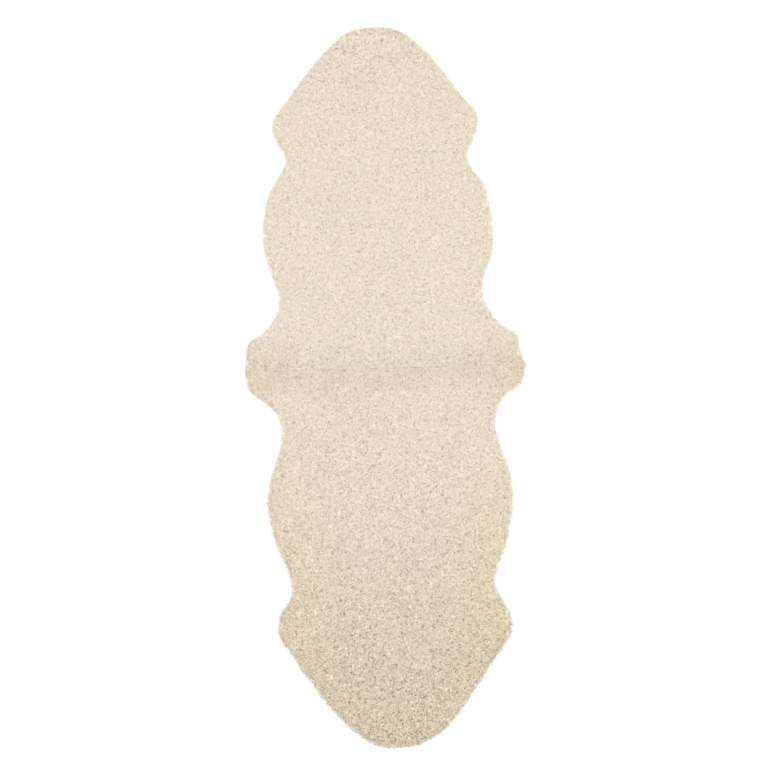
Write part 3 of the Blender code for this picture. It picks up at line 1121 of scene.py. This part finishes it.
def wool():
    """Wool whose colour runs from root to tip and from the far end to the near end."""
    material, shader = new_material(
        "clipped_undyed_lambswool", Roughness=0.95, IOR=1.55, Sheen_Weight=0.3, Sheen_Roughness=0.5
    )
    tree = material.node_tree
    place = add(tree, "ShaderNodeTexCoord")["Object"]
    sides = add(tree, "ShaderNodeSeparateXYZ", {"Vector": place})
    coarse = share_along(tree, sides["Y"], COARSER, COARSER_POWER)
    warmer_and_shaded = share_along(tree, sides["Y"], WARMER_AND_SHADED, 1)
    # Towards the near end the root colour darkens with the coarser wool, and the tip colour darkens
    # towards both heads: partly warmer wool, partly painted shade.
    root, tip = (
        add(tree, "ShaderNodeMix", {0: share, 6: linear(a), 7: linear(b)}, data_type="RGBA")[2]
        for share, a, b in zip((coarse, warmer_and_shaded), FAR_WOOL_AND_SHADE, NEAR_WOOL_AND_SHADE)
    )
    off_seam = seam_distance(tree, sides["Y"])
    across = add(tree, "ShaderNodeMath", [sides["X"]], operation="ABSOLUTE")[0]
    folded = add(tree, "ShaderNodeCombineXYZ", {"X": across, "Y": sides["Y"]})["Vector"]
    at_leg = add(
        tree,
        "ShaderNodeMapping",
        {
            "Vector": folded,
            "Location": (-LEG_X / LEG_REACH, -SEAM_Y / LEG_REACH, 0),
            "Scale": (1 / LEG_REACH,) * 3,
        },
    )["Vector"]
    leg = add(tree, "ShaderNodeTexGradient", [at_leg], gradient_type="QUADRATIC_SPHERE")["Fac"]
    along, border, shade = (
        add(tree, "ShaderNodeAttribute", attribute_name=name)["Fac"]
        for name in (ALONG, CREASE_SHADE, SHADE)
    )
    # Painted shade where one curl lies just over another: the colour there moves towards the darker
    # root colour, and the bundles' bumps fade.
    clear = add(tree, "ShaderNodeMath", [1, border], operation="SUBTRACT")[0]
    along = add(tree, "ShaderNodeMath", [border, -CREASE_SHADE_DEPTH, along], operation="MULTIPLY_ADD")[0]
    on_near_pelt, on_near_body, beside, low, rim_glow_off_seam, seam_shade, bleached_and_lit = (
        add(
            tree,
            "ShaderNodeMapRange",
            {"Value": value, "From Min": start, "From Max": end, "To Min": least},
            interpolation_type=way,
        )["Result"]
        for value, (start, end), least, way in (
            (sides["Y"], NEAR_PELT_Y, 0, "LINEAR"),
            (sides["Y"], SIDE_Y, 0, "LINEAR"),
            (across, SIDE_X, 0, "LINEAR"),
            (sides["Z"], RIM_GLOW_Z, 0, "LINEAR"),
            (off_seam, RIM_GLOW_SEAM_CLEAR, SEAM_RIM_GLOW, "LINEAR"),
            (off_seam, (0, SEAM_SHADE_REACH), 1 - SEAM_SHADE, "LINEAR"),
            (along, BLEACHED_AND_LIT, 0, "SMOOTHSTEP"),
        )
    )
    # rim is where the painted glow goes: on the low wool, and less of it near the seam.
    side, rim = (
        add(tree, "ShaderNodeMath", both, operation="MULTIPLY")[0]
        for both in ((beside, on_near_body), (low, rim_glow_off_seam))
    )
    for share, colour, way in (
        (on_near_pelt, NEAR_PELT_TINT, "MULTIPLY"),
        (side, SIDE_TINT, "MULTIPLY"),
        (leg, LEG_TIP, "MIX"),
        (rim, RIM_GLOW_TIP, "MIX"),
    ):
        tip = add(
            tree,
            "ShaderNodeMix",
            {0: share, 6: tip, 7: linear(colour)},
            data_type="RGBA",
            blend_type=way,
        )[2]
    # Crests get the tip colour and creases the root colour: bleaching and wax, and painted shade in
    # the creases.
    grown = add(tree, "ShaderNodeMix", {0: bleached_and_lit, 6: root, 7: tip}, data_type="RGBA")[2]
    blotch = add(
        tree, "ShaderNodeTexNoise", {"Vector": place, "Scale": 1 / BLOTCH_WIDTH, "Detail": 3}
    )["Fac"]
    fibre_map = add(tree, "ShaderNodeAttribute", attribute_name=FIBRES)["Vector"]
    bundles = streaks(tree, fibre_map, BUNDLE_WIDTH, BUNDLE_RUN)
    fibres = streaks(tree, fibre_map, FIBRE_WIDTH, FIBRE_RUN)
    # The tone starts from the seam's painted shade, brightened by the rim's painted glow.
    numbers = [rim, RIM_GLOW, seam_shade]
    tone = add(tree, "ShaderNodeMath", numbers, operation="MULTIPLY_ADD")[0]
    for value, extent, strengths in (
        (shade, (-1, 1), OWN_SHADE),
        (blotch, PATTERN_RANGE, BLOTCH_SHADE),
        (bundles, PATTERN_RANGE, BUNDLE_SHADE),
        (fibres, PATTERN_RANGE, FIBRE_SHADE),
    ):
        even, strength = (
            add(
                tree,
                "ShaderNodeMapRange",
                {"Value": number, "From Min": a, "From Max": b, "To Min": c, "To Max": d},
            )["Result"]
            for number, (a, b), (c, d) in ((value, extent, (-1, 1)), (coarse, (0, 1), strengths))
        )
        numbers = [even, strength, tone]
        tone = add(tree, "ShaderNodeMath", numbers, operation="MULTIPLY_ADD")[0]
    toned = add(
        tree, "ShaderNodeVectorMath", {0: grown, "Scale": tone}, operation="SCALE"
    )["Vector"]
    crimped = add(
        tree,
        "ShaderNodeMapping",
        {"Vector": fibre_map, "Scale": (CRIMP_RUN / CRIMP, 1 / CRIMP, 1 / CRIMP)},
    )["Vector"]
    crimp = add(tree, "ShaderNodeTexNoise", {"Vector": crimped, "Scale": 1, "Detail": 1})["Fac"]
    relief = {}
    for height, strength, depth in (
        (crimp, 0.6, CRIMP_DEPTH),
        (bundles, clear, BUNDLE_DEPTH),
        (fibres, 0.5, FIBRE_DEPTH),
    ):
        bump = {"Height": height, "Strength": strength, "Distance": depth}
        relief = {"Normal": add(tree, "ShaderNodeBump", {**bump, **relief})["Normal"]}
    tree.links.new(toned, shader.inputs["Base Color"])
    tree.links.new(relief["Normal"], shader.inputs["Normal"])
    return material


lambswool = wool()
for pelt in PELTS:
    for piece in (*fleeces[pelt.side], *strands[pelt.side]):
        piece.data.materials.append(lambswool)
print("the wool has", len(lambswool.node_tree.nodes), "nodes")

# %% [markdown]
# ## Thread
#
# Furriers sew with waxed linen thread. It is spun of two or three plies, whose twist shows
# as slanting ridges, and the wax gives it a dull gloss. The ridges are a wave pattern that
# runs aslant round the thread.

# %% Make the thread
TWIST = math.tau * MM  # from one ridge to the next along the thread
WAVE_AT_SCALE_1 = math.tau / 10  # the pattern's own length
PLY_DEPTH = 0.12 * MM

thread, thread_shader = new_material(
    "waxed_linen_thread", Base_Color=linear("DDD0B2"), Roughness=0.55, IOR=1.5
)
tree = thread.node_tree
thread_map = add(tree, "ShaderNodeAttribute", attribute_name=FIBRES)["Vector"]
plies = add(
    tree,
    "ShaderNodeTexWave",
    {"Vector": thread_map, "Scale": WAVE_AT_SCALE_1 / TWIST},
    wave_type="BANDS",
    bands_direction="DIAGONAL",
)["Fac"]
twist = add(
    tree, "ShaderNodeBump", {"Height": plies, "Strength": 0.8, "Distance": PLY_DEPTH}
)["Normal"]
tree.links.new(twist, thread_shader.inputs["Normal"])
stitches.data.materials.append(thread)
print("the thread's plies turn once in", round(TWIST / MM, 1), "mm")

# %% [markdown]
# ## Attaching the pieces
#
# The skins are the sheets that were cut. The wool grows on them and takes the place of the
# construction model's plain solids. Everything moves with the rug's one body.

# %% Attach each piece to the rug's body
for pelt in PELTS:
    skin = skins[pelt.side]
    grown = [*fleeces[pelt.side], *strands[pelt.side]]
    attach(skin, "root")
    for piece in grown:
        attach(piece, "root")
        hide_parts(pelt.node)
    low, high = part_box(pelt.node)
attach(stitches, "root")
